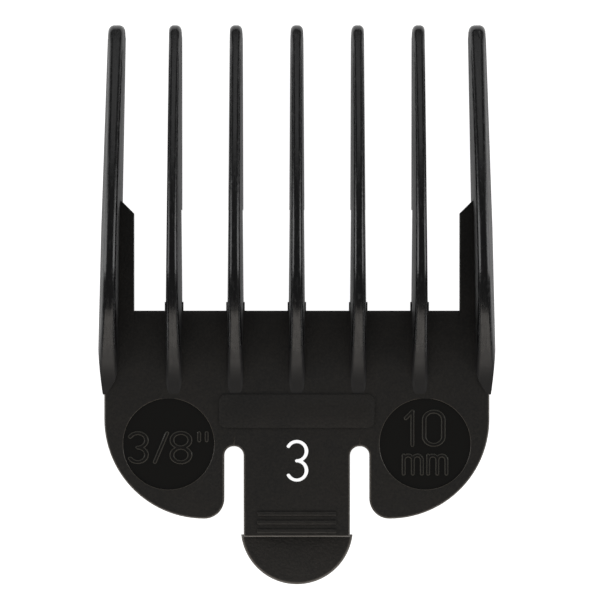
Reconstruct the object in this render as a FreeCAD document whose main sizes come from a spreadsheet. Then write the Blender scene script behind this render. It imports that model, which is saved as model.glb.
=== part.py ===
"""Clipper guard comb for a 10 mm (3/8 in) cutting length.

A one-piece black moulding, laid out as separate solids that meet face to face.
Millimetres, +X right, +Y toward the tooth tips, +Z toward the skin.
The origin is on the centre line of the blade seat, the flat face under the plate.
"""
import FreeCAD
import Part
import Sketcher
import math
import os
import re

# Driving dimensions: alias, value, meaning. Y values are stations along the comb.
DIMENSIONS = [
    ("front_y", 8.6, "front edge of the plate"),
    ("lobe_end_y", -17.7, "rear end of the two lobes"),
    ("plate_width", 48.7, "plate across its straight sides"),
    ("plate_thick", 1.6, "plate, ledges and tab"),
    ("lobe_radius", 12.6, "outer corner of each lobe"),
    ("lobe_corner", 2.5, "corner between lobe and slot"),
    ("edge_round", 0.3, "rounding of the open edges on the skin side"),
    ("bevel_length", 1.84, "bevel along the plate front"),
    ("bevel_drop", 0.5, "depth of that bevel"),
    ("slot_x", 7.95, "centre of each slot"),
    ("slot_width", 2.46, "slot that frees the tab"),
    ("slot_end_y", -8.55, "closed end of the slots"),
    ("slot_end_radius", 1.18, "rounding of the closed end"),
    ("disc_x", 16.2, "centre of each size disc"),
    ("disc_y", -8.25, "centre of each size disc"),
    ("disc_radius", 5.75, "size disc"),
    ("disc_depth", 0.35, "recess of the size disc"),
    ("panel_y", -4.1, "centre of the blank panel"),
    ("panel_length", 19.6, "blank panel across the plate"),
    ("panel_width", 4.2, "blank panel along the plate"),
    ("panel_height", 0.2, "blank panel above the plate"),
    ("panel_corner", 0.9, "corner of the blank panel"),
    ("tooth_pitch", 7.77, "inner teeth, centre to centre"),
    ("tooth_width", 2.25, "inner tooth across, where the seat plane meets the origin's station"),
    ("tooth_draft", 2.0, "lean of an inner tooth's sides, degrees"),
    ("tooth_taper", 0.57, "turn of those sides toward the tip, degrees"),
    ("foot_y", -4.6, "rear end of the ramp's line, under the plate's surface"),
    ("foot_z", 1.12, "height of the ramp's line there"),
    ("bend_y", 1.2, "bend from the ramp's foot to its slope"),
    ("bend_z", 2.15, "height of that bend"),
    ("bend_radius", 8.0, "rounding of that bend"),
    ("crest_y", 10.0, "station of the crest"),
    ("crest_z", 8.2, "crest above the blade seat"),
    ("runner_radius", 65.0, "curve from crest to tip"),
    ("nose_radius", 12.0, "rounding from ramp to runner"),
    ("tip_y", 44.1, "start of the rounded tip"),
    ("tip_top", -1.2, "upper end of the tip's rounding"),
    ("tip_low", -4.5, "lower end of the tip's rounding"),
    ("tip_round", 1.9, "rounding of the tip"),
    ("stop_y", 21.4, "front stop for the blade"),
    ("stop_low", -1.6, "lower end of the stop on the inner teeth"),
    ("crest_round", 0.6, "rounding of the inner teeth along the skin side"),
    ("outer_round", 0.76, "rounding of the outer teeth along the skin side"),
    ("collar_length", 1.1, "collar at an inner tooth's root, ahead of the plate"),
    ("collar_width", 2.34, "that collar across the tooth"),
    ("outer_width", 50.0, "across the outer teeth"),
    ("outer_in_x", 22.58, "inner face of the outer tooth, where the seat plane meets the origin's station"),
    ("inner_draft", 0.6, "draft of the inner face, degrees"),
    ("inner_taper", 0.8, "turn of the inner face toward the tip, degrees"),
    ("outer_seat_x", 25.4, "its outer face, where the seat plane meets the origin's station"),
    ("outer_taper", 2.1, "turn of the outer face toward the tip, degrees"),
    ("outer_draft", 5.5, "draft of the outer face, degrees"),
    ("crescent_x", 22.5, "start of the curve that ends the outer ramp's inner side"),
    ("crescent_y", 2.1, "start of that curve"),
    ("crescent_width", 1.6, "that curve across the comb"),
    ("crescent_length", 4.05, "that curve along the comb"),
    ("crescent_radius", 6.0, "radius of that curve"),
    ("skirt_y", -2.0, "rear end of the skirt"),
    ("skirt_low", -3.0, "lower edge of the skirt"),
    ("pocket_width", 46.4, "blade pocket between the skirts"),
    ("rebate_depth", 0.4, "rebate in the plate's underside that the skirt's shoulder fills"),
    ("ledge_in_x", 20.6, "inner edge of the side ledge"),
    ("ledge_out_x", 22.6, "side ledge inside the outer tooth"),
    ("ledge_y", 22.5, "front end of the side ledge"),
    ("ledge_chamfer", 1.6, "chamfer of that end"),
    ("root_y", -7.3, "start of the tab root"),
    ("leaf_y", -13.7, "end of the tab root, start of the leaf"),
    ("leaf_end_y", -20.0, "end of the leaf"),
    ("hook_thick", 1.1, "wall of the heel hook"),
    ("hook_low", -3.2, "lower end of the hook and lip"),
    ("barb_reach", 0.45, "barb under the blade heel"),
    ("barb_rise", 0.7, "height of the barb"),
    ("lip_radius", 7.15, "half disc of the thumb lip"),
    ("lip_y", -19.15, "centre of that half disc"),
    ("lip_thick", 1.6, "thumb lip"),
    ("lip_round", 0.45, "rounding of the lip's upper edge"),
    ("rib_length", 10.0, "grip rib across the leaf"),
    ("rib_width", 0.5, "grip rib along the leaf"),
    ("rib_height", 0.22, "grip rib above the leaf"),
    ("rib_pitch", 1.1, "grip ribs, centre to centre"),
    ("rib_y", -17.3, "grip rib farthest forward"),
    ("rib_count", 3, "grip ribs"),
    ("blank_rear_y", -5.0, "rear end of a tooth blank"),
    ("blank_tip_y", 46.0, "tip end of a tooth blank"),
    ("blank_top", 9.0, "top of a tooth blank"),
    ("blank_low", -6.0, "underside of a tooth blank"),
    ("numeral_stroke", 0.46, "line width of the numeral cut through the tab"),
    ("mark_stroke", 0.5, "line width of the raised characters"),
    ("mark_height", 0.3, "raised characters above the disc floor"),
    ("numeral_y", -10.4, "middle of the numeral cut through the tab"),
    ("numeral_height", 4.88, "that numeral, along the middle of its stroke"),
    ("inch_height", 3.65, "characters on the left disc, along the middle of the stroke"),
    ("inch_y", -8.7, "middle of those characters"),
    ("three_x", -20.1, "middle of the three"),
    ("slash_x", -17.17, "middle of the slash"),
    ("slash_lean", 1.55, "slash across the comb, end to end"),
    ("eight_x", -14.65, "middle of the eight"),
    ("three_stretch", 1.2, "three, wider than two circles"),
    ("eight_stretch", 1.25, "eight, wider than two circles"),
    ("inch_dash_x", -11.87, "middle of the two inch dashes"),
    ("inch_dash_gap", 0.95, "between those dashes"),
    ("metric_height", 4.2, "numerals on the right disc"),
    ("metric_y", -6.25, "middle of those numerals"),
    ("one_x", 14.6, "stem of the one"),
    ("zero_x", 17.3, "middle of the zero"),
    ("zero_bowl", 2.1, "zero before it is stretched"),
    ("zero_stretch", 1.15, "zero, wider than its half circles"),
    ("unit_height", 2.3, "letters under the numerals"),
    ("unit_y", -10.85, "middle of those letters"),
    ("unit_pitch", 3.1, "letters, centre to centre"),
    ("arch_width", 1.15, "arch of an m"),
]
INNER_TEETH = 5
UP = FreeCAD.Vector(0, 0, 1)

doc = FreeCAD.newDocument("guard_comb")
dims = doc.addObject("Spreadsheet::Sheet", "dims")
for row, (alias, value, meaning) in enumerate(DIMENSIONS, start=1):
    dims.set(f"A{row}", alias)
    dims.set(f"B{row}", str(value))
    dims.setAlias(f"B{row}", alias)
    dims.set(f"C{row}", meaning)
doc.recompute()


def size(expression):
    """The number that an expression of the sheet's aliases gives."""
    return float(dims.evalExpression(str(expression)))


def bind(item, path, expression):
    """Tie a property or a constraint to the sheet; every alias holds an underscore."""
    item.setExpression(path, re.sub(r"\b[a-z]+(_[a-z]+)+\b", r"dims.\g<0>", str(expression)))


# ---------------------------------------------------------------- sketches

def sketch_on(body, name, role, offset=0):
    """A sketch on one of the body's origin planes, shifted along the plane's normal."""
    plane = next(item for item in body.Origin.OriginFeatures if item.Role == role)
    sketch = body.newObject("Sketcher::SketchObject", name)
    sketch.AttachmentSupport = (plane, [""])
    sketch.MapMode = "FlatFace"
    bind(sketch, "AttachmentOffset.Base.z", offset)
    return sketch


def constrain(sketch, kind, *terms):
    """Add a constraint; its last term is an expression of the sheet."""
    index = sketch.addConstraint(Sketcher.Constraint(kind, *terms[:-1], size(terms[-1])))
    bind(sketch, f"Constraints[{index}]", terms[-1])


def place_point(sketch, geometry, end, corner):
    """Hold one end of a piece of geometry at a corner's coordinates."""
    constrain(sketch, "DistanceX", geometry, end, corner[0])
    constrain(sketch, "DistanceY", geometry, end, corner[1])


def circle_part(centre, start, end, radius):
    """The arc that runs counterclockwise from start to end about centre."""
    first = math.atan2(start.y - centre.y, start.x - centre.x)
    last = math.atan2(end.y - centre.y, end.x - centre.x)
    return Part.ArcOfCircle(Part.Circle(centre, UP, radius), first, last)


def outline(sketch, corners):
    """Close an outline through corners (x, y), each an expression.

    (x, y, "round", radius) rounds that corner, and (x, y, "arc", radius) makes the edge
    to the next corner an arc whose centre is on the right of the way it is drawn.
    """
    count = len(corners)
    points = [FreeCAD.Vector(size(corner[0]), size(corner[1]), 0) for corner in corners]
    enter = list(points)
    leave = list(points)
    for index, corner in enumerate(corners):
        if "round" in corner:
            before = (points[index - 1] - points[index]).normalize()
            after = (points[(index + 1) % count] - points[index]).normalize()
            reach = size(corner[3]) / math.tan(before.getAngle(after) / 2)
            enter[index] = points[index] + before * reach
            leave[index] = points[index] + after * reach
    edges = []
    for index, corner in enumerate(corners):
        start = leave[index]
        end = enter[(index + 1) % count]
        if "arc" in corner:
            radius = size(corner[3])
            chord = end - start
            sagitta_side = FreeCAD.Vector(chord.y, -chord.x, 0).normalize()
            depth = math.sqrt(radius ** 2 - (chord.Length / 2) ** 2)
            centre = (start + end) * 0.5 + sagitta_side * depth
            edge = sketch.addGeometry(circle_part(centre, end, start, radius), False)
            constrain(sketch, "Radius", edge, corner[3])
            edges.append((edge, 2, 1))
        else:
            edges.append((sketch.addGeometry(Part.LineSegment(start, end), False), 1, 2))
    for index, corner in enumerate(corners):
        edge, edge_start, _ = edges[index]
        previous, _, previous_end = edges[index - 1]
        if "round" not in corner:
            sketch.addConstraint(
                Sketcher.Constraint("Coincident", previous, previous_end, edge, edge_start))
            place_point(sketch, edge, edge_start, corner)
            continue
        before = enter[index] - points[index]
        after = leave[index] - points[index]
        left_turn = before.cross(after).z < 0
        middle = (before + after).normalize()
        radius = size(corner[3])
        centre = points[index] + middle * math.hypot(radius, before.Length)
        first, last = (enter[index], leave[index]) if left_turn else (leave[index], enter[index])
        arc = sketch.addGeometry(circle_part(centre, first, last, radius), False)
        arc_in, arc_out = (1, 2) if left_turn else (2, 1)
        sketch.addConstraint(Sketcher.Constraint("Tangent", previous, previous_end, arc, arc_in))
        sketch.addConstraint(Sketcher.Constraint("Tangent", arc, arc_out, edge, edge_start))
        constrain(sketch, "Radius", arc, corner[3])
        vertex = sketch.addGeometry(Part.Point(points[index]), True)
        sketch.addConstraint(Sketcher.Constraint("PointOnObject", vertex, 1, previous))
        sketch.addConstraint(Sketcher.Constraint("PointOnObject", vertex, 1, edge))
        place_point(sketch, vertex, 1, corner)


def rectangle(sketch, x_low, x_high, y_low, y_high):
    outline(sketch, [(x_low, y_low), (x_high, y_low), (x_high, y_high), (x_low, y_high)])


def circle(sketch, x_centre, y_centre, radius):
    middle = FreeCAD.Vector(size(x_centre), size(y_centre), 0)
    ring = sketch.addGeometry(Part.Circle(middle, UP, size(radius)), False)
    place_point(sketch, ring, 3, (x_centre, y_centre))
    constrain(sketch, "Radius", ring, radius)


# ---------------------------------------------------------------- features

def new_body(label):
    body = doc.addObject("PartDesign::Body", label)
    body.Label = label
    return body


def pad(body, sketch, length, reverse=False, both_ways=False):
    feature = body.newObject("PartDesign::Pad", sketch.Name + "_pad")
    feature.Profile = sketch
    feature.Reversed = reverse
    bind(feature, "Length", length)
    feature.SideType = "Symmetric" if both_ways else "One side"
    doc.recompute()
    return feature


def pocket(body, sketch, length=None, reverse=False, both_ways=False):
    """Cut a sketch out of the body, through everything when no length is given."""
    volume = body.Shape.Volume
    feature = body.newObject("PartDesign::Pocket", sketch.Name + "_pocket")
    feature.Profile = sketch
    feature.Reversed = reverse
    feature.SideType = "Symmetric" if both_ways else "One side"
    if length is None:
        feature.Type = "ThroughAll"
    else:
        bind(feature, "Length", length)
    doc.recompute()
    if body.Shape.Volume > volume - 1e-4:
        raise RuntimeError(feature.Name + " cuts nothing")
    return feature


def fillet(body, radius, wanted):
    """Round the edges of the body that wanted(edge) picks."""
    tip = body.Tip
    names = [f"Edge{index}" for index, edge in enumerate(tip.Shape.Edges, start=1) if wanted(edge)]
    feature = body.newObject("PartDesign::Fillet", body.Name + "_fillet")
    feature.Base = (tip, names)
    bind(feature, "Radius", radius)
    doc.recompute()
    return feature


def level(edge, height):
    """True for an edge that lies flat at a height."""
    box = edge.BoundBox
    return abs(box.ZMin - size(height)) < 1e-4 and abs(box.ZMax - size(height)) < 1e-4


def across(edge):
    """True for a straight edge that runs across the comb."""
    box = edge.BoundBox
    return box.YLength < 1e-4 and box.ZLength < 1e-4


# ---------------------------------------------------------------- plate and ledges

def half_and_mirror(right_half):
    """A whole outline from its right half, which runs from centre line to centre line."""
    left_half = [(f"-({corner[0]})", *corner[1:]) for corner in reversed(right_half)]
    return right_half + left_half


def base_plate():
    """The plate with its two lobes, the notch for the tab and the recessed size discs."""
    body = new_body("base_plate")
    plan = sketch_on(body, "plate_plan", "XY_Plane")
    outline(plan, half_and_mirror([
        ("slot_x", "root_y"),
        ("slot_x", "slot_end_y"),
        ("slot_x + slot_width / 2", "slot_end_y", "round", "slot_end_radius"),
        ("slot_x + slot_width / 2", "lobe_end_y", "round", "lobe_corner"),
        ("plate_width / 2", "lobe_end_y", "round", "lobe_radius"),
        ("plate_width / 2", "front_y"),
    ]))
    pad(body, plan, "plate_thick")
    bevel = sketch_on(body, "front_bevel", "YZ_Plane")
    outline(bevel, [
        ("front_y - bevel_length", "plate_thick"),
        ("front_y", "plate_thick - bevel_drop"),
        ("front_y + bevel_drop", "plate_thick - bevel_drop"),
        ("front_y + bevel_drop", "plate_thick + bevel_drop"),
        ("front_y - bevel_length", "plate_thick + bevel_drop"),
    ])
    pocket(body, bevel, "2 * ledge_in_x", both_ways=True)
    fillet(body, "edge_round", lambda edge: level(edge, "plate_thick")
           and edge.BoundBox.YMin < size("root_y") - 0.01
           and edge.BoundBox.YMax < size("front_y") + 0.01
           and edge.BoundBox.XLength + edge.BoundBox.YLength > 0.2
           and not (abs(edge.BoundBox.XMin) < size("slot_x") + 0.01
                    and abs(edge.BoundBox.XMax) < size("slot_x") + 0.01))
    rebates = sketch_on(body, "skirt_rebates", "XY_Plane")
    for side in (-1, 1):
        rectangle(rebates, f"{side} * pocket_width / 2", f"{side} * plate_width / 2", "skirt_y", "front_y")
    pocket(body, rebates, "rebate_depth", reverse=True)
    discs = sketch_on(body, "disc_floors", "XY_Plane", "plate_thick")
    circle(discs, "-disc_x", "disc_y", "disc_radius")
    circle(discs, "disc_x", "disc_y", "disc_radius")
    pocket(body, discs, "disc_depth")


def blade_ledge(label, side):
    """The flat ear beside an outer tooth, level with the plate, front end chamfered."""
    body = new_body(label)
    plan = sketch_on(body, label + "_plan", "XY_Plane")
    outline(plan, [
        (f"{side} * ledge_in_x", "front_y"),
        (f"{side} * ledge_in_x", "ledge_y - ledge_chamfer"),
        (f"{side} * (ledge_in_x + ledge_chamfer)", "ledge_y"),
        (f"{side} * ledge_out_x", "ledge_y"),
        (f"{side} * ledge_out_x", "front_y"),
    ])
    pad(body, plan, "plate_thick")


# ---------------------------------------------------------------- teeth

def flank(body, label, seat_x, lean, away, turn):
    """Cut a flat side face from the seat line at seat_x out to away.

    The face leans by lean degrees toward +X with height, and turns by turn degrees toward
    -X with distance along the comb.
    """
    sketch = sketch_on(body, label, "XZ_Plane")
    sketch.AttachmentOffset = FreeCAD.Placement(
        FreeCAD.Vector(), FreeCAD.Rotation(FreeCAD.Vector(0, 1, 0), size(turn)))
    outline(sketch, [
        (f"{seat_x} + blank_low * tan({lean})", "blank_low"),
        (f"{seat_x} + blank_top * tan({lean})", "blank_top"),
        (away, "blank_top"),
        (away, "blank_low"),
    ])
    pocket(body, sketch, both_ways=True)


def tooth_blank(body, stop, width, **sides):
    """A bar with a tooth's side outline.

    The ramp starts under the plate's surface, so once the plate's space is cut away its foot
    thins out into the plate.
    """
    profile = sketch_on(body, body.Name + "_profile", "YZ_Plane")
    outline(profile, [
        ("foot_y", "foot_z"),
        ("bend_y", "bend_z", "round", "bend_radius"),
        ("crest_y", "crest_z", "arc", "runner_radius"),
        ("tip_y", "tip_top", "arc", "tip_round"),
        ("tip_y", "tip_low"),
        ("stop_y", stop),
        ("foot_y", stop),
    ])
    pad(body, profile, width, **sides)


def near(edge, y_value, z_value):
    """True for an edge across the tooth that passes a corner of the side profile."""
    middle = edge.BoundBox.Center
    return (edge.BoundBox.YLength < 1e-3 and abs(middle.y - size(y_value)) < 0.01
            and abs(middle.z - size(z_value)) < 0.01)


def round_tooth(body, radius):
    """Round the crest, then the side edges of the skin side."""
    fillet(body, "nose_radius", lambda edge: near(edge, "crest_y", "crest_z"))
    fillet(body, radius, on_skin_side)


def on_skin_side(edge):
    """True for the side edges of ramp, crest, runner and tip, and not for those underneath."""
    box = edge.BoundBox
    under_tip = size("(tip_top + tip_low) / 2")
    return (box.YLength > 0.2 and box.ZMax > under_tip and box.ZLength > 0.1
            and (box.YMax > size("tip_y") + 0.1 or box.ZMin > size("tip_low") + 1))


def inner_tooth(number):
    """One of the slim teeth, with the ramp on the plate and the stop ahead of the blade."""
    body = new_body(f"inner_tooth_{number}")
    tooth_blank(body, "stop_low", "2 * tooth_width", both_ways=True)
    for side in (-1, 1):
        flank(body, f"inner_tooth_{number}_flank_{side + 1}", f"{side} * tooth_width / 2",
              f"{-side} * tooth_draft", f"{side} * 2 * tooth_width", f"{side} * tooth_taper")
    round_tooth(body, "crest_round")
    below = sketch_on(body, f"inner_tooth_{number}_seat", "YZ_Plane")
    outline(below, [
        ("blank_rear_y", "blank_low"),
        ("stop_y", "blank_low"),
        ("stop_y", "0"),
        ("front_y", "0"),
        ("front_y", "plate_thick - bevel_drop"),
        ("front_y - bevel_length", "plate_thick"),
        ("blank_rear_y", "plate_thick"),
    ])
    pocket(body, below, both_ways=True)
    collar = sketch_on(body, f"inner_tooth_{number}_collar", "XY_Plane")
    rectangle(collar, "-collar_width / 2", "collar_width / 2", "front_y", "front_y + collar_length")
    pad(body, collar, "plate_thick - bevel_drop")
    middle = (INNER_TEETH + 1) / 2
    bind(body, "Placement.Base.x", f"tooth_pitch * {number - middle}")


def outer_tooth(label, side):
    """A wide tooth with the skirt that holds the blade's side, drawn for one side."""
    body = new_body(label)
    tooth_blank(body, "skirt_low", "outer_width", reverse=side < 0)
    flank(body, label + "_inside", f"{side} * outer_in_x", f"{side} * inner_draft",
          f"{-side} * outer_width", f"{side} * inner_taper")
    flank(body, label + "_outside", f"{side} * outer_seat_x", f"{-side} * outer_draft",
          f"{side} * 2 * outer_width", f"{side} * outer_taper")
    round_tooth(body, "outer_round")
    front_end = (f"{side} * crescent_x", "crescent_y")
    rear_end = (f"{side} * (crescent_x + crescent_width)", "crescent_y - crescent_length")
    first, last = (rear_end, front_end) if side > 0 else (front_end, rear_end)
    crescent = sketch_on(body, label + "_crescent", "XY_Plane", "plate_thick")
    outline(crescent, [
        (*first, "arc", "crescent_radius"),
        last,
        *[(f"{side} * ledge_in_x", "crescent_y"), (f"{side} * ledge_in_x", "blank_rear_y"),
          (rear_end[0], "blank_rear_y")][::side],
    ])
    pocket(body, crescent, "crest_z", reverse=True)
    rear = sketch_on(body, label + "_rear", "YZ_Plane")
    rectangle(rear, "blank_rear_y", "skirt_y", "blank_low", "plate_thick")
    pocket(body, rear, both_ways=True)
    wall = sketch_on(body, label + "_wall", "XY_Plane")
    rectangle(wall, f"{side} * outer_width / 2", f"{side} * outer_width", "blank_rear_y", "blank_tip_y")
    pocket(body, wall, both_ways=True)
    seat = sketch_on(body, label + "_seat", "XY_Plane")
    outline(seat, [
        ("0", "blank_rear_y"),
        (f"{side} * pocket_width / 2", "blank_rear_y"),
        (f"{side} * pocket_width / 2", "front_y"),
        (f"{side} * ledge_out_x", "front_y"),
        (f"{side} * ledge_out_x", "ledge_y"),
        ("0", "ledge_y"),
    ])
    pocket(body, seat, "plate_thick", reverse=True)
    shoulder = sketch_on(body, label + "_shoulder", "XY_Plane", "rebate_depth")
    rectangle(shoulder, "0", f"{side} * plate_width / 2", "blank_rear_y", "front_y")
    pocket(body, shoulder, "plate_thick - rebate_depth", reverse=True)
    blade = sketch_on(body, label + "_pocket", "XY_Plane")
    outline(blade, [
        ("0", "blank_rear_y"),
        (f"{side} * pocket_width / 2", "blank_rear_y"),
        (f"{side} * pocket_width / 2", "stop_y"),
        ("0", "stop_y"),
    ])
    pocket(body, blade)


# ---------------------------------------------------------------- release tab

def tab_root():
    """The flexing root of the tab, with the size numeral cut through it."""
    blank = new_body("tab_root_blank")
    plan = sketch_on(blank, "tab_root_plan", "XY_Plane")
    outline(plan, half_and_mirror([
        ("slot_x - slot_width / 2", "leaf_y"),
        ("slot_x - slot_width / 2", "slot_end_y", "round", "slot_end_radius"),
        ("slot_x", "slot_end_y"),
        ("slot_x", "root_y"),
    ]))
    pad(blank, plan, "plate_thick")
    fillet(blank, "edge_round", lambda edge: level(edge, "plate_thick")
           and edge.BoundBox.YMax < size("slot_end_y") + 0.01
           and edge.BoundBox.YMin < size("slot_end_y") - 0.5
           and edge.BoundBox.YLength > 0.1)
    numeral = doc.addObject("Part::Feature", "size_numeral")
    numeral.Shape = raised(
        numeral_three(0, size("numeral_y"), size("numeral_height"), size("numeral_stroke")),
        size("2 * plate_thick"))
    numeral.Placement.Base.z = -size("plate_thick / 2")
    root = doc.addObject("Part::Cut", "tab_root")
    root.Base = blank
    root.Tool = numeral
    root.Label = "tab_root"
    doc.recompute()


def tab_leaf():
    """The stiff part of the tab between its root and the heel hook."""
    body = new_body("tab_leaf")
    plan = sketch_on(body, "tab_leaf_plan", "XY_Plane")
    half = "(slot_x - slot_width / 2)"
    rectangle(plan, f"-{half}", half, "leaf_end_y", "leaf_y")
    pad(body, plan, "plate_thick")
    fillet(body, "edge_round", lambda edge: level(edge, "plate_thick")
           and edge.BoundBox.Center.y < size("leaf_y") - 0.01)


def heel_hook():
    """The wall that drops behind the blade heel, with a barb that snaps under it."""
    body = new_body("heel_hook")
    side_view = sketch_on(body, "heel_hook_side", "YZ_Plane")
    face = "leaf_end_y + hook_thick"
    outline(side_view, [
        ("leaf_end_y", "hook_low"),
        (face, "hook_low"),
        (f"{face} + barb_reach", "hook_low + barb_rise / 2"),
        (face, "hook_low + barb_rise"),
        (face, "0"),
        ("leaf_end_y", "0"),
    ])
    pad(body, side_view, "2 * slot_x - slot_width", both_ways=True)


def thumb_lip():
    """The half disc that a thumb lifts, one step below the leaf."""
    body = new_body("thumb_lip")
    plan = sketch_on(body, "thumb_lip_plan", "XY_Plane", "hook_low")
    circle(plan, "0", "lip_y", "lip_radius")
    pad(body, plan, "lip_thick")
    front = sketch_on(body, "thumb_lip_front", "XY_Plane", "hook_low")
    rectangle(front, "-2 * lip_radius", "2 * lip_radius", "leaf_end_y", "leaf_end_y + 3 * lip_radius")
    pocket(body, front, "lip_thick", reverse=True)
    fillet(body, "lip_round", lambda edge: level(edge, "hook_low + lip_thick") and not across(edge))


# ---------------------------------------------------------------- characters and low relief

def line_stroke(start, end, width):
    """A straight stroke with round ends."""
    first = FreeCAD.Vector(*start, 0)
    last = FreeCAD.Vector(*end, 0)
    along = (last - first).normalize() * (width / 2)
    beside = FreeCAD.Vector(-along.y, along.x, 0)
    return Part.Face(Part.Wire([
        Part.makeLine(first - beside, last - beside),
        Part.Arc(last - beside, last + along, last + beside).toShape(),
        Part.makeLine(last + beside, first + beside),
        Part.Arc(first + beside, first - along, first - beside).toShape(),
    ]))


def arc_stroke(centre, radius, first_angle, last_angle, width):
    """A stroke along part of a circle, angles counterclockwise in degrees."""
    curve = Part.Circle(FreeCAD.Vector(*centre, 0), UP, radius)
    span = Part.ArcOfCircle(curve, math.radians(first_angle), math.radians(last_angle))
    return Part.Wire([span.toShape()]).makeOffset2D(width / 2, fill=True)


def ring_stroke(centre, radius, width):
    """A stroke round a full circle."""
    middle = FreeCAD.Vector(*centre, 0)
    outside, hole = [Part.Face(Part.Wire([Part.Circle(middle, UP, radius + way * width / 2).toShape()]))
                     for way in (1, -1)]
    return outside.cut(hole)


def widened(strokes, x, factor):
    """Strokes stretched across the comb about x."""
    stretch = FreeCAD.Matrix()
    stretch.A11 = factor
    stretch.A14 = x * (1 - factor)
    return [stroke.transformGeometry(stretch) for stroke in strokes]


def numeral_three(x, y, height, width):
    """A three of two equal bowls about (x, y), height tall along the stroke's middle."""
    radius = height / 4
    return [
        arc_stroke((x, y + radius), radius, -90, 150, width),
        arc_stroke((x, y - radius), radius, -150, 90, width),
    ]


def numeral_eight(x, y, height, width):
    """Two rings whose strokes overlap where they meet, without reaching each other's hole."""
    radius = height / 4
    reach = radius + width / 16
    return [ring_stroke((x, y + reach), radius, width), ring_stroke((x, y - reach), radius, width)]


def numeral_one(x, y, height, width):
    top = y + height / 2
    return [
        line_stroke((x, y - height / 2), (x, top), width),
        line_stroke((x, top), (x - height / 5, top - height / 5), width),
    ]


def numeral_zero(x, y, height, bowl, width):
    """Two half circles joined by straight sides, bowl wide along the stroke's middle."""
    radius = bowl / 2
    reach = height / 2 - radius
    return [
        arc_stroke((x, y + reach), radius, 0, 180, width),
        arc_stroke((x, y - reach), radius, 180, 360, width),
        line_stroke((x - radius, y - reach), (x - radius, y + reach), width),
        line_stroke((x + radius, y - reach), (x + radius, y + reach), width),
    ]


def letter_m(x, y, height, arch, width):
    """Three legs under two arches, each arch wide along the stroke's middle."""
    radius = arch / 2
    spring = y + height / 2 - radius
    strokes = [line_stroke((x - arch, y - height / 2), (x - arch, y + height / 2), width)]
    for step in (0, 1):
        strokes.append(arc_stroke((x - radius + step * arch, spring), radius, 0, 180, width))
        strokes.append(line_stroke((x + step * arch, y - height / 2), (x + step * arch, spring), width))
    return strokes


def raised(strokes, height):
    """Raise flat strokes into solids and join those that touch."""
    solids = [stroke.extrude(UP * height) for stroke in strokes]
    return solids[0].multiFuse(solids[1:]).removeSplitter()


def size_mark(label, strokes):
    """Raised characters that stand on the floor of a size disc."""
    mark = doc.addObject("Part::Feature", label)
    mark.Shape = raised(strokes, size("mark_height"))
    mark.Placement.Base = FreeCAD.Vector(0, 0, size("plate_thick - disc_depth"))


def inch_size_mark():
    """3/8" across the left disc."""
    width = size("mark_stroke")
    tall = size("inch_height")
    y = size("inch_y")
    top = y + tall / 2
    three_x, slash_x, eight_x = size("three_x"), size("slash_x"), size("eight_x")
    lean = size("slash_lean / 2")
    strokes = widened(numeral_three(three_x, y, tall, width), three_x, size("three_stretch"))
    strokes.append(line_stroke((slash_x - lean, y - tall / 2), (slash_x + lean, top), width))
    strokes += widened(numeral_eight(eight_x, y, tall, width), eight_x, size("eight_stretch"))
    for side in (-1, 1):
        dash_x = size("inch_dash_x") + side * size("inch_dash_gap / 2")
        strokes.append(line_stroke((dash_x, top), (dash_x, top - tall / 4), width))
    size_mark("inch_size_mark", strokes)


def metric_size_mark():
    """10 over mm on the right disc."""
    width = size("mark_stroke")
    tall = size("metric_height")
    y, zero_x = size("metric_y"), size("zero_x")
    strokes = numeral_one(size("one_x"), y, tall, width)
    zero = numeral_zero(zero_x, y, tall, size("zero_bowl"), width)
    strokes += widened(zero, zero_x, size("zero_stretch"))
    for side in (-1, 1):
        middle = size("disc_x") + side * size("unit_pitch / 2")
        strokes += letter_m(middle, size("unit_y"), size("unit_height"), size("arch_width"), width)
    size_mark("metric_size_mark", strokes)


def blank_name_panel():
    """A plain raised panel on the middle of the plate."""
    body = new_body("blank_name_panel")
    plan = sketch_on(body, "panel_plan", "XY_Plane", "plate_thick")
    half = "(panel_length / 2)"
    outline(plan, [
        (f"-{half}", "panel_y - panel_width / 2", "round", "panel_corner"),
        (half, "panel_y - panel_width / 2", "round", "panel_corner"),
        (half, "panel_y + panel_width / 2", "round", "panel_corner"),
        (f"-{half}", "panel_y + panel_width / 2", "round", "panel_corner"),
    ])
    pad(body, plan, "panel_height")


def release_grip_ribs():
    """Low ribs across the leaf, where a finger pushes it."""
    ribs = []
    for number in range(int(size("rib_count"))):
        rib = doc.addObject("Part::Box", f"grip_rib_{number + 1}")
        bind(rib, "Length", "rib_length")
        bind(rib, "Width", "rib_width")
        bind(rib, "Height", "rib_height")
        bind(rib, "Placement.Base.x", "-rib_length / 2")
        bind(rib, "Placement.Base.y", f"rib_y - {number} * rib_pitch")
        bind(rib, "Placement.Base.z", "plate_thick")
        ribs.append(rib)
    group = doc.addObject("Part::Compound", "release_grip_ribs")
    group.Links = ribs
    group.Label = "release_grip_ribs"
    doc.recompute()


# ---------------------------------------------------------------- the comb

base_plate()
blade_ledge("left_blade_ledge", -1)
blade_ledge("right_blade_ledge", 1)
outer_tooth("left_outer_tooth", -1)
outer_tooth("right_outer_tooth", 1)
for tooth_number in range(1, INNER_TEETH + 1):
    inner_tooth(tooth_number)
tab_root()
tab_leaf()
heel_hook()
thumb_lip()
inch_size_mark()
metric_size_mark()
blank_name_panel()
release_grip_ribs()
doc.recompute()

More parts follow.
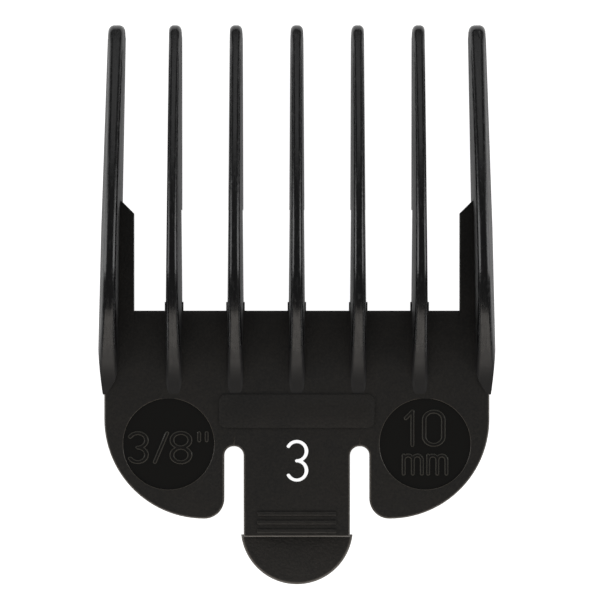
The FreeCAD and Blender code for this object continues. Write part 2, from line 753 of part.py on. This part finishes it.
SUB_PARTS = [
    "base_plate", "left_blade_ledge", "right_blade_ledge", "left_outer_tooth", "right_outer_tooth",
    *[f"inner_tooth_{number}" for number in range(1, INNER_TEETH + 1)],
    "tab_root", "tab_leaf", "heel_hook", "thumb_lip",
    "inch_size_mark", "metric_size_mark", "blank_name_panel", "release_grip_ribs",
]
for item in doc.Objects:
    if "Invalid" in item.State or "Error" in item.State:
        raise RuntimeError(f"{item.Label} failed: {item.State}")
os.makedirs("parts", exist_ok=True)
for label in SUB_PARTS:
    shape = doc.getObjectsByLabel(label)[0].Shape
    if shape.isNull() or not shape.isValid():
        raise RuntimeError(f"{label} has no valid shape")
    shape.exportStep(f"parts/{label}.step")
    print(f"{label}: {len(shape.Solids)} solids, {shape.Volume:.1f} mm3")
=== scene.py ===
"""Looks of a clipper guard comb: a black nylon moulding, polished teeth on a textured plate."""
import bmesh
import bpy
import math
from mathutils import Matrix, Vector


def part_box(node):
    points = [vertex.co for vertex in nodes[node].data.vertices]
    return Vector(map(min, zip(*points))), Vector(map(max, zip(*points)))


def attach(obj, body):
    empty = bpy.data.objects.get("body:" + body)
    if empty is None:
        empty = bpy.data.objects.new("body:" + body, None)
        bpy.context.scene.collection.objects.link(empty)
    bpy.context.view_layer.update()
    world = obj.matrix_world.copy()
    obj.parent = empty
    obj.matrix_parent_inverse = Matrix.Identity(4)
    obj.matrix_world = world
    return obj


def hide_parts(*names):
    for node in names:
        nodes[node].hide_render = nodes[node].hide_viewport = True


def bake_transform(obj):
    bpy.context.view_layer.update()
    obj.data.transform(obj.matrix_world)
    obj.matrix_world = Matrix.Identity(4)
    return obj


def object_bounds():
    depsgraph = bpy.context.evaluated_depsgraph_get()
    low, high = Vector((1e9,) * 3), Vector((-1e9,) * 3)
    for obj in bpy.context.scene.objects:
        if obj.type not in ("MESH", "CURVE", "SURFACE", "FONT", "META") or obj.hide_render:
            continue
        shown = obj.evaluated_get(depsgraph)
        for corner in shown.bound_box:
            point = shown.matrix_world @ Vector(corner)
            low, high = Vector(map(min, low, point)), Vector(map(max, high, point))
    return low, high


MM = 0.001
SAME_PLACE = 0.0002 * MM        # corners nearer than this are one corner
SAME_LEVEL = 0.005 * MM         # heights nearer than this are one height
FLAT_ANGLE = math.radians(0.5)  # faces that meet at less than this are one flat face
SHARP_ANGLE = math.radians(28)  # faces that meet at more than this keep a crease
BEVEL_ANGLE = math.radians(40)  # edges sharper than this are rounded on the CAD nodes
RIM_ANGLE = math.radians(60)    # edges sharper than this end a top face
EDGE_ROUND = 0.14 * MM          # radius that the mould leaves along the plate and the tab
BARE_PLATE_Y = -2.5 * MM        # behind this no skirt covers the plate's sides
MARK_SLOPE = 0.13 * MM          # width of the sloping edge round a raised character
SKIRT_RUN = 6.5 * MM            # length over which a skirt bows in
SKIRT_DEPTH = 0.48 * MM         # how far its rear corner comes in
SKIRT_CUTS = 5
ROOT_SLICES = 16

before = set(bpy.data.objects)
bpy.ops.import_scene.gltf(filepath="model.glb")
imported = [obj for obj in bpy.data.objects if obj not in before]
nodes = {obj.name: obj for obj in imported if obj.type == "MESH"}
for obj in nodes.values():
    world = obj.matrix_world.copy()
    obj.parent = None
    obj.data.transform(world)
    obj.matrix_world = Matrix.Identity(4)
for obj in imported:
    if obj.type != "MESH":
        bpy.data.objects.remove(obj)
cad_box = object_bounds()

plate_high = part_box("base_plate")[1]
plate_top = plate_high.z
disc_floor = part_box("metric_size_mark")[0].z
DISC_X = 16.2 * MM              # middle of each size disc, left and right
DISC_Y = -8.25 * MM
DISC_RADIUS = 5.75 * MM


# ---------------------------------------------------------------- node helpers

def linear(code):
    """A linear colour with alpha from an sRGB hex value."""
    channels = [int(code[place:place + 2], 16) / 255 for place in (0, 2, 4)]
    return (*[c / 12.92 if c <= 0.04045 else ((c + 0.055) / 1.055) ** 2.4 for c in channels], 1.0)


def add(tree, kind, settings=None, **links):
    """Add a node, set its properties and sockets, and link sockets by name or number, as i0."""
    node = tree.nodes.new(kind)
    for name, value in (settings or {}).items():
        if isinstance(name, int) or name in node.inputs:
            node.inputs[name].default_value = value
        else:
            setattr(node, name, value)
    for name, source in links.items():
        key = int(name[1:]) if name[0] == "i" and name[1:].isdigit() else name.replace("_", " ")
        tree.links.new(source, node.inputs[key])
    return node


def new_material(name):
    """A nylon material: its tree, its shader and the place on the object in metres."""
    material = bpy.data.materials.new(name)
    material.use_nodes = True
    tree = material.node_tree
    shader = tree.nodes["Principled BSDF"]
    shader.inputs["IOR"].default_value = 1.53
    place = add(tree, "ShaderNodeTexCoord").outputs["Object"]
    return material, tree, shader, place


def painted_edge_highlight(tree, strength):
    """strength where the surface slopes halfway to upright, as on a moulded edge's rounding, else
    0: the mask of a painted edge highlight.
    """
    normal = add(tree, "ShaderNodeNewGeometry").outputs["Normal"]
    facing = add(tree, "ShaderNodeSeparateXYZ", Vector=normal).outputs["Z"]
    level = add(tree, "ShaderNodeMath", {"operation": "ABSOLUTE"}, i0=facing).outputs[0]
    from_slope = add(tree, "ShaderNodeMath", {"operation": "SUBTRACT", 1: 0.7}, i0=level).outputs[0]
    distance = add(tree, "ShaderNodeMath", {"operation": "ABSOLUTE"}, i0=from_slope).outputs[0]
    fade = {"From Min": 0.14, "From Max": 0.28, "To Min": strength, "To Max": 0.0}
    return add(tree, "ShaderNodeMapRange", fade, Value=distance).outputs["Result"]


# ---------------------------------------------------------------- materials

def spark_textured_nylon():
    """Nylon 6, moulded against spark-eroded steel: a dull, slightly warm black with fine pits,
    cloudy where the melt flowed, with a painted highlight: a lighter colour along its rounded
    edges.
    Polished steel shapes the two disc floors, which are darker and glossy. The real pits are
    about 0.05 mm and are drawn at 0.3 mm, so that they show.
    """
    material, tree, shader, place = new_material("nylon_moulded_spark_texture")
    grain = add(tree, "ShaderNodeTexNoise",
                {"Scale": 1 / (0.3 * MM), "Detail": 3.0, "Roughness": 0.6},
                Vector=place).outputs["Fac"]
    cloud = add(tree, "ShaderNodeTexNoise", {"Scale": 1 / (5.5 * MM), "Detail": 3.0},
                Vector=place).outputs["Fac"]
    ripple = add(tree, "ShaderNodeTexNoise", {"Scale": 1 / (3.0 * MM), "Detail": 1.0},
                 Vector=place).outputs["Fac"]

    axes = add(tree, "ShaderNodeSeparateXYZ", Vector=place).outputs
    either_side = add(tree, "ShaderNodeMath", {"operation": "ABSOLUTE"}, i0=axes["X"]).outputs[0]
    spot = add(tree, "ShaderNodeCombineXYZ", X=either_side, Y=axes["Y"]).outputs["Vector"]
    from_middle = add(tree, "ShaderNodeVectorMath",
                      {"operation": "DISTANCE", 1: (DISC_X, DISC_Y, 0)}, i0=spot).outputs["Value"]
    inside = add(tree, "ShaderNodeMath", {"operation": "LESS_THAN", 1: DISC_RADIUS - 0.01 * MM},
                 i0=from_middle).outputs[0]
    low = add(tree, "ShaderNodeMath", {"operation": "COMPARE", 1: disc_floor, 2: 0.05 * MM},
              i0=axes["Z"]).outputs[0]
    disc = add(tree, "ShaderNodeMath", {"operation": "MULTIPLY"}, i0=inside, i1=low).outputs[0]

    speckle = add(tree, "ShaderNodeMapRange", {"From Min": 0.36, "From Max": 0.66},
                  Value=grain).outputs["Result"]
    flow = add(tree, "ShaderNodeMapRange", {"From Min": 0.35, "From Max": 0.65, "To Max": 0.45},
               Value=cloud).outputs["Result"]
    worn = add(tree, "ShaderNodeMath", {"operation": "MULTIPLY_ADD", 1: 0.6},
               i0=speckle, i2=flow).outputs[0]
    plate_colour = add(tree, "ShaderNodeMix",
                       {"data_type": "RGBA", 6: linear("0b0a08"), 7: linear("25221e")},
                       i0=worn).outputs[2]
    with_discs = add(tree, "ShaderNodeMix", {"data_type": "RGBA", 7: linear("13120f")},
                     i0=disc, i6=plate_colour).outputs[2]
    # Painted highlight: the rounded edges are coloured a lighter grey (655f57), standing in for the
    # light that they catch; they are also made glossier.
    edge = painted_edge_highlight(tree, 0.8)
    colour = add(tree, "ShaderNodeMix", {"data_type": "RGBA", 7: linear("655f57")},
                 i0=edge, i6=with_discs).outputs[2]
    tree.links.new(colour, shader.inputs["Base Color"])
    matt = add(tree, "ShaderNodeMapRange",
               {"From Min": 0.3, "From Max": 0.7, "To Min": 0.62, "To Max": 0.50},
               Value=cloud).outputs["Result"]
    gloss = add(tree, "ShaderNodeMix", {"data_type": "FLOAT", 3: 0.19},
                i0=disc, i2=matt).outputs[0]
    rough = add(tree, "ShaderNodeMix", {"data_type": "FLOAT", 3: 0.25},
                i0=edge, i2=gloss).outputs[0]
    tree.links.new(rough, shader.inputs["Roughness"])
    outside = add(tree, "ShaderNodeMath", {"operation": "SUBTRACT", 0: 1.0}, i1=disc).outputs[0]
    pits = add(tree, "ShaderNodeMath", {"operation": "MULTIPLY"}, i0=grain, i1=outside).outputs[0]
    waves = add(tree, "ShaderNodeBump", {"Distance": 0.02 * MM}, Height=ripple).outputs["Normal"]
    normal = add(tree, "ShaderNodeBump", {"Distance": 0.07 * MM},
                 Height=pits, Normal=waves).outputs["Normal"]
    tree.links.new(normal, shader.inputs["Normal"])
    return material


def drawn_polished_nylon():
    """The same nylon from hand-polished tooth cavities: glossy black, with fine lines drawn along
    the tooth by the polishing stone, slight ripples across it, and rub marks from use. The polish
    stops at the foot of each ramp, which goes over into the plate's matt texture and, where it
    faces up, into a lighter colour that is partly the plate's grey and partly a painted highlight.
    The stone's lines are about 0.02 mm apart and are drawn at 0.22 mm, so that they show.
    """
    material, tree, shader, place = new_material("nylon_moulded_drawn_polish")
    along = add(tree, "ShaderNodeMapping", {"Scale": (1, 1 / 40, 1 / 4)},
                Vector=place).outputs["Vector"]
    lines = add(tree, "ShaderNodeTexNoise", {"Scale": 1 / (0.22 * MM), "Detail": 2.0},
                Vector=along).outputs["Fac"]
    across = add(tree, "ShaderNodeMapping", {"Scale": (1 / 5, 1, 1 / 2)},
                 Vector=place).outputs["Vector"]
    ripples = add(tree, "ShaderNodeTexNoise", {"Scale": 1 / (0.55 * MM), "Detail": 2.0},
                  Vector=across).outputs["Fac"]
    wiped = add(tree, "ShaderNodeMapping", {"Scale": (1, 1 / 4, 1)}, Vector=place).outputs["Vector"]
    handling = add(tree, "ShaderNodeTexNoise", {"Scale": 1 / (0.3 * MM), "Detail": 3.0},
                   Vector=wiped).outputs["Fac"]
    rubs = add(tree, "ShaderNodeMapRange", {"From Min": 0.56, "From Max": 0.74},
               Value=handling).outputs["Result"]

    axes = add(tree, "ShaderNodeSeparateXYZ", Vector=place).outputs
    near_plate = add(tree, "ShaderNodeMapRange",
                     {"From Min": plate_top + 0.1 * MM, "From Max": plate_top + 2.6 * MM,
                      "To Min": 1.0, "To Max": 0.0}, Value=axes["Z"]).outputs["Result"]
    over_plate = add(tree, "ShaderNodeMath", {"operation": "LESS_THAN", 1: plate_high.y},
                     i0=axes["Y"]).outputs[0]
    normal = add(tree, "ShaderNodeNewGeometry").outputs["Normal"]
    facing = add(tree, "ShaderNodeSeparateXYZ", Vector=normal).outputs
    on_ramp = add(tree, "ShaderNodeMapRange", {"From Min": 0.15, "From Max": 0.5},
                  Value=facing["Z"]).outputs["Result"]
    low_ramp = add(tree, "ShaderNodeMath", {"operation": "MULTIPLY"},
                   i0=near_plate, i1=over_plate).outputs[0]
    foot = add(tree, "ShaderNodeMath", {"operation": "MULTIPLY"},
               i0=low_ramp, i1=on_ramp).outputs[0]

    polished_colour = add(tree, "ShaderNodeMix",
                          {"data_type": "RGBA", 6: linear("111112"), 7: linear("2a2a2b")},
                          i0=rubs).outputs[2]
    # The foot's colour (242323) is partly the plate's grey and partly a painted highlight on the
    # up-facing ramp, lighter than the polished black.
    colour = add(tree, "ShaderNodeMix", {"data_type": "RGBA", 7: linear("242323")},
                 i0=foot, i6=polished_colour).outputs[2]
    tree.links.new(colour, shader.inputs["Base Color"])

    sideways = add(tree, "ShaderNodeMath", {"operation": "ABSOLUTE"}, i0=facing["X"]).outputs[0]
    flank = add(tree, "ShaderNodeMapRange", {"From Min": 0.90, "From Max": 0.99, "To Max": 0.45},
                Value=sideways).outputs["Result"]
    stone = add(tree, "ShaderNodeMapRange",
                {"From Min": 0.3, "From Max": 0.7, "To Min": 0.17, "To Max": 0.32},
                Value=lines).outputs["Result"]
    rubbed = add(tree, "ShaderNodeMath", {"operation": "MULTIPLY_ADD", 1: 0.14},
                 i0=rubs, i2=stone).outputs[0]
    polish = add(tree, "ShaderNodeMath", {"operation": "ADD"}, i0=rubbed, i1=flank).outputs[0]
    rough = add(tree, "ShaderNodeMix", {"data_type": "FLOAT", 3: 0.55},
                i0=foot, i2=polish).outputs[0]
    tree.links.new(rough, shader.inputs["Roughness"])

    drawn_lines = add(tree, "ShaderNodeBump", {"Distance": 0.006 * MM},
                      Height=lines).outputs["Normal"]
    bumps = add(tree, "ShaderNodeBump", {"Distance": 0.010 * MM},
                Height=ripples, Normal=drawn_lines).outputs["Normal"]
    tree.links.new(bumps, shader.inputs["Normal"])
    return material


def polished_nylon():
    """Nylon moulded against polished steel: the raised characters, dark and glossy on top with
    sloping edges that catch the light, and the hook's wall.
    """
    material, tree, shader, place = new_material("nylon_moulded_polish")
    handling = add(tree, "ShaderNodeTexNoise", {"Scale": 1 / (0.9 * MM), "Detail": 3.0},
                   Vector=place).outputs["Fac"]
    rubs = add(tree, "ShaderNodeMapRange", {"From Min": 0.35, "From Max": 0.7},
               Value=handling).outputs["Result"]
    face = add(tree, "ShaderNodeMix",
               {"data_type": "RGBA", 6: linear("131210"), 7: linear("1c1a18")}, i0=rubs).outputs[2]
    # Painted highlight: the sloping edges are coloured a lighter grey (514f4a), standing in for the
    # light that they catch.
    edge = painted_edge_highlight(tree, 1.0)
    colour = add(tree, "ShaderNodeMix", {"data_type": "RGBA", 7: linear("514f4a")},
                 i0=edge, i6=face).outputs[2]
    tree.links.new(colour, shader.inputs["Base Color"])
    rough = add(tree, "ShaderNodeMapRange",
                {"From Min": 0.3, "From Max": 0.7, "To Min": 0.18, "To Max": 0.28},
                Value=handling).outputs["Result"]
    tree.links.new(rough, shader.inputs["Roughness"])
    normal = add(tree, "ShaderNodeBump", {"Distance": 0.006 * MM},
                 Height=handling).outputs["Normal"]
    tree.links.new(normal, shader.inputs["Normal"])
    return material


textured = spark_textured_nylon()
drawn = drawn_polished_nylon()
polished = polished_nylon()


# ---------------------------------------------------------------- moulded edges on the CAD nodes

def finish_of(name):
    """The material that a CAD node takes its surface from."""
    if "tooth" in name:
        return drawn
    if "hook" in name:
        return polished
    return textured


BEVELS_MM = {"blank_name_panel": 0.13, "release_grip_ribs": 0.1, "thumb_lip": 0.08,
             "heel_hook": 0.12}


def smooth(piece, bevel_mm=0.0):
    """Join the loose triangles, round the sharp edges a little and shade the curves smoothly."""
    weld = piece.modifiers.new("weld", "WELD")
    weld.merge_threshold = SAME_PLACE
    if bevel_mm:
        bevel = piece.modifiers.new("mould_radius", "BEVEL")
        bevel.width = bevel_mm * MM
        bevel.segments = 2
        bevel.limit_method = "ANGLE"
        bevel.angle_limit = BEVEL_ANGLE
    piece.data.polygons.foreach_set("use_smooth", [True] * len(piece.data.polygons))
    split = piece.modifiers.new("sharp_edges", "EDGE_SPLIT")
    split.split_angle = SHARP_ANGLE


for name, item in nodes.items():
    item.data.materials.clear()
    item.data.materials.append(finish_of(name))
    smooth(item, BEVELS_MM.get(name, 0.0))


# ---------------------------------------------------------------- plate, tab and characters

def merged_copy(name):
    """A CAD node's mesh as one closed shell with whole flat faces."""
    shape = bmesh.new()
    shape.from_mesh(nodes[name].data)
    bmesh.ops.remove_doubles(shape, verts=shape.verts, dist=SAME_PLACE)
    bmesh.ops.dissolve_limit(shape, angle_limit=FLAT_ANGLE, verts=shape.verts,
                             edges=shape.edges)
    return shape


def whole(shape):
    """Everything in a shell, as the cutting operator takes it."""
    return shape.verts[:] + shape.edges[:] + shape.faces[:]


def finished(shape, name, material):
    """An object from a shell, with its curves shaded smoothly."""
    bmesh.ops.triangulate(shape, faces=shape.faces)
    mesh = bpy.data.meshes.new(name)
    shape.to_mesh(mesh)
    shape.free()
    mesh.polygons.foreach_set("use_smooth", [True] * len(mesh.polygons))
    mesh.materials.append(material)
    piece = bpy.data.objects.new(name, mesh)
    bpy.context.collection.objects.link(piece)
    split = piece.modifiers.new("sharp_edges", "EDGE_SPLIT")
    split.split_angle = SHARP_ANGLE
    piece.modifiers.new("flat_faces", "WEIGHTED_NORMAL")
    return piece


def round_top(shape, top, wanted):
    """Give the sharp edges round the top face that wanted picks the small radius of the mould."""
    chosen = [edge for edge in shape.edges
              if all(abs(end.co.z - top) < SAME_LEVEL for end in edge.verts)
              and edge.calc_face_angle(0.0) > RIM_ANGLE and wanted(*edge.verts)]
    bmesh.ops.bevel(shape, geom=chosen, offset=EDGE_ROUND, affect="EDGES", segments=3, profile=0.5,
                    material=-1, clamp_overlap=False)


def rounded_plate():
    """The plate, rounded along its lobes and slots and round its discs."""
    shape = merged_copy("base_plate")
    root_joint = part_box("tab_root")[1]

    def bare(*ends):
        against_root = all(abs(end.co.y - root_joint.y) < 2 * SAME_LEVEL
                           and abs(end.co.x) < root_joint.x + 2 * SAME_LEVEL for end in ends)
        return not against_root and all(end.co.y < BARE_PLATE_Y for end in ends)

    round_top(shape, plate_top, bare)
    piece = finished(shape, "rounded_plate", textured)
    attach(piece, "comb")
    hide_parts("base_plate")


def along_side(*ends):
    """Whether an edge runs along the tab rather than across it, at its side."""
    run = ends[1].co - ends[0].co
    near_side = 0.8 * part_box("tab_root")[1].x
    return abs(run.y) > abs(run.x) and all(abs(end.co.x) > near_side for end in ends)


def rounded_leaf():
    """The stiff part of the tab, rounded along its two sides."""
    shape = merged_copy("tab_leaf")
    round_top(shape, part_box("tab_leaf")[1].z, along_side)
    piece = finished(shape, "rounded_leaf", textured)
    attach(piece, "release_tab")
    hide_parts("tab_leaf")


def edged_characters(node, name):
    """Raised characters, each with a sloping edge round its flat top."""
    low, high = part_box(node)
    shape = merged_copy(node)
    crowns = [face for face in shape.faces
              if face.normal.z > 0.99 and abs(face.verts[0].co.z - high.z) < SAME_LEVEL]
    slopes = bmesh.ops.inset_region(shape, faces=crowns, thickness=MARK_SLOPE, use_boundary=True,
                                    use_even_offset=True)["faces"]
    inner = {corner for face in crowns for corner in face.verts}
    outer = {corner for face in slopes for corner in face.verts} - inner
    bmesh.ops.translate(shape, verts=list(outer), vec=(0, 0, -0.5 * (high.z - low.z)))
    piece = finished(shape, name, polished)
    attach(piece, "comb")
    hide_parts(node)


def tapered_skirt(side, node):
    """An outer tooth whose skirt bows in a little towards its rear corner."""
    low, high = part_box(node)
    outer_x = max(abs(low.x), abs(high.x))
    shape = merged_copy(node)
    for number in range(SKIRT_CUTS):
        left = 1 - number / SKIRT_CUTS
        bow_x = side * (outer_x - SKIRT_DEPTH * left ** 2)
        bow_y = low.y + SKIRT_RUN * (1 - left)
        cut = bmesh.ops.bisect_plane(shape, geom=whole(shape), clear_outer=True,
                                     plane_co=(bow_x, bow_y, 0),
                                     plane_no=(side, -2 * SKIRT_DEPTH * left / SKIRT_RUN, 0))
        rim = [item for item in cut["geom_cut"] if isinstance(item, bmesh.types.BMEdge)]
        bmesh.ops.holes_fill(shape, edges=rim)
    piece = finished(shape, node.replace("tooth", "guard"), drawn)
    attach(piece, "comb")
    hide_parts(node)


rounded_plate()
rounded_leaf()
tapered_skirt(-1, "left_outer_tooth")
tapered_skirt(1, "right_outer_tooth")
edged_characters("inch_size_mark", "inch_characters")
edged_characters("metric_size_mark", "metric_characters")


# ---------------------------------------------------------------- flexing root of the release tab

def flexing_root():
    """The root with its cut numeral, rounded along its sides and sliced across the comb into thin
    strips.
    """
    root_low, root_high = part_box("tab_root")
    shape = merged_copy("tab_root")
    round_top(shape, root_high.z, along_side)
    for number in range(1, ROOT_SLICES):
        station = root_low.y + (root_high.y - root_low.y) * number / ROOT_SLICES
        bmesh.ops.bisect_plane(shape, geom=whole(shape), plane_co=(0, station, 0),
                               plane_no=(0, 1, 0))
    piece = finished(shape, "flexing_root", textured)
    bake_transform(piece)
    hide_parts("tab_root")


flexing_root()


# ---------------------------------------------------------------- floor, light and camera

def studio():
    """White paper that glows a little, a faint sky and four soft boxes."""
    floor_mesh = bpy.data.meshes.new("floor")
    shape = bmesh.new()
    bmesh.ops.create_grid(shape, x_segments=1, y_segments=1, size=2.0)
    bmesh.ops.translate(shape, verts=shape.verts, vec=(0, 0, cad_box[0].z - 1 * MM))
    shape.to_mesh(floor_mesh)
    shape.free()
    floor = bpy.data.objects.new("floor", floor_mesh)
    bpy.context.collection.objects.link(floor)
    paper = bpy.data.materials.new("white_paper")
    paper.use_nodes = True
    shader = paper.node_tree.nodes["Principled BSDF"]
    shader.inputs["Base Color"].default_value = linear("f4f4f4")
    shader.inputs["Roughness"].default_value = 0.9
    shader.inputs["Emission Color"].default_value = linear("ffffff")
    shader.inputs["Emission Strength"].default_value = 0.95
    floor_mesh.materials.append(paper)

    world = bpy.data.worlds.new("studio")
    world.use_nodes = True
    back = world.node_tree.nodes["Background"]
    back.inputs["Color"].default_value = linear("ffffff")
    back.inputs["Strength"].default_value = 0.13
    bpy.context.scene.world = world

    def softbox(name, place, aim, width, height, power, colour="ffffff"):
        """A soft box at place, pointed at aim. Lengths are in metres and power in watts."""
        light = bpy.data.lights.new(name, "AREA")
        light.color = linear(colour)[:3]
        light.shape = "RECTANGLE"
        light.size = width
        light.size_y = height
        light.energy = power
        lamp = bpy.data.objects.new(name, light)
        lamp.visible_camera = False
        lamp.location = place
        lamp.rotation_euler = (Vector(aim) - Vector(place)).to_track_quat("-Z", "Y").to_euler()
        bpy.context.collection.objects.link(lamp)

    softbox("rear_key", place=(0, -0.085, 0.052), aim=(0, -0.01, 0), width=0.16, height=0.05,
            power=0.034, colour="fff8f0")
    softbox("front_fill", place=(0, 0.34, 0.26), aim=(0, 0.04, 0), width=0.4, height=0.26,
            power=0.20)
    softbox("left_edge", place=(-0.35, 0.07, 0.13), aim=(0, 0.03, 0), width=0.12, height=0.3,
            power=0.34)
    softbox("right_edge", place=(0.35, 0.07, 0.13), aim=(0, 0.03, 0), width=0.12, height=0.3,
            power=0.34)


def camera():
    """Straight down on the skin side from 400 mm."""
    distance = 400 * MM
    view_width = 76.1 * MM
    view_middle = (0.4 * MM, plate_high.y + 1.35 * MM)
    lens = bpy.data.cameras.new("camera")
    lens.sensor_width = 36.0
    lens.lens = lens.sensor_width * distance / view_width
    lens.clip_start = 0.01
    lens.clip_end = 10.0
    eye = bpy.data.objects.new("camera", lens)
    eye.location = (*view_middle, distance)
    bpy.context.collection.objects.link(eye)
    bpy.context.scene.camera = eye


studio()
camera()
bpy.context.scene.view_settings.view_transform = "Standard"
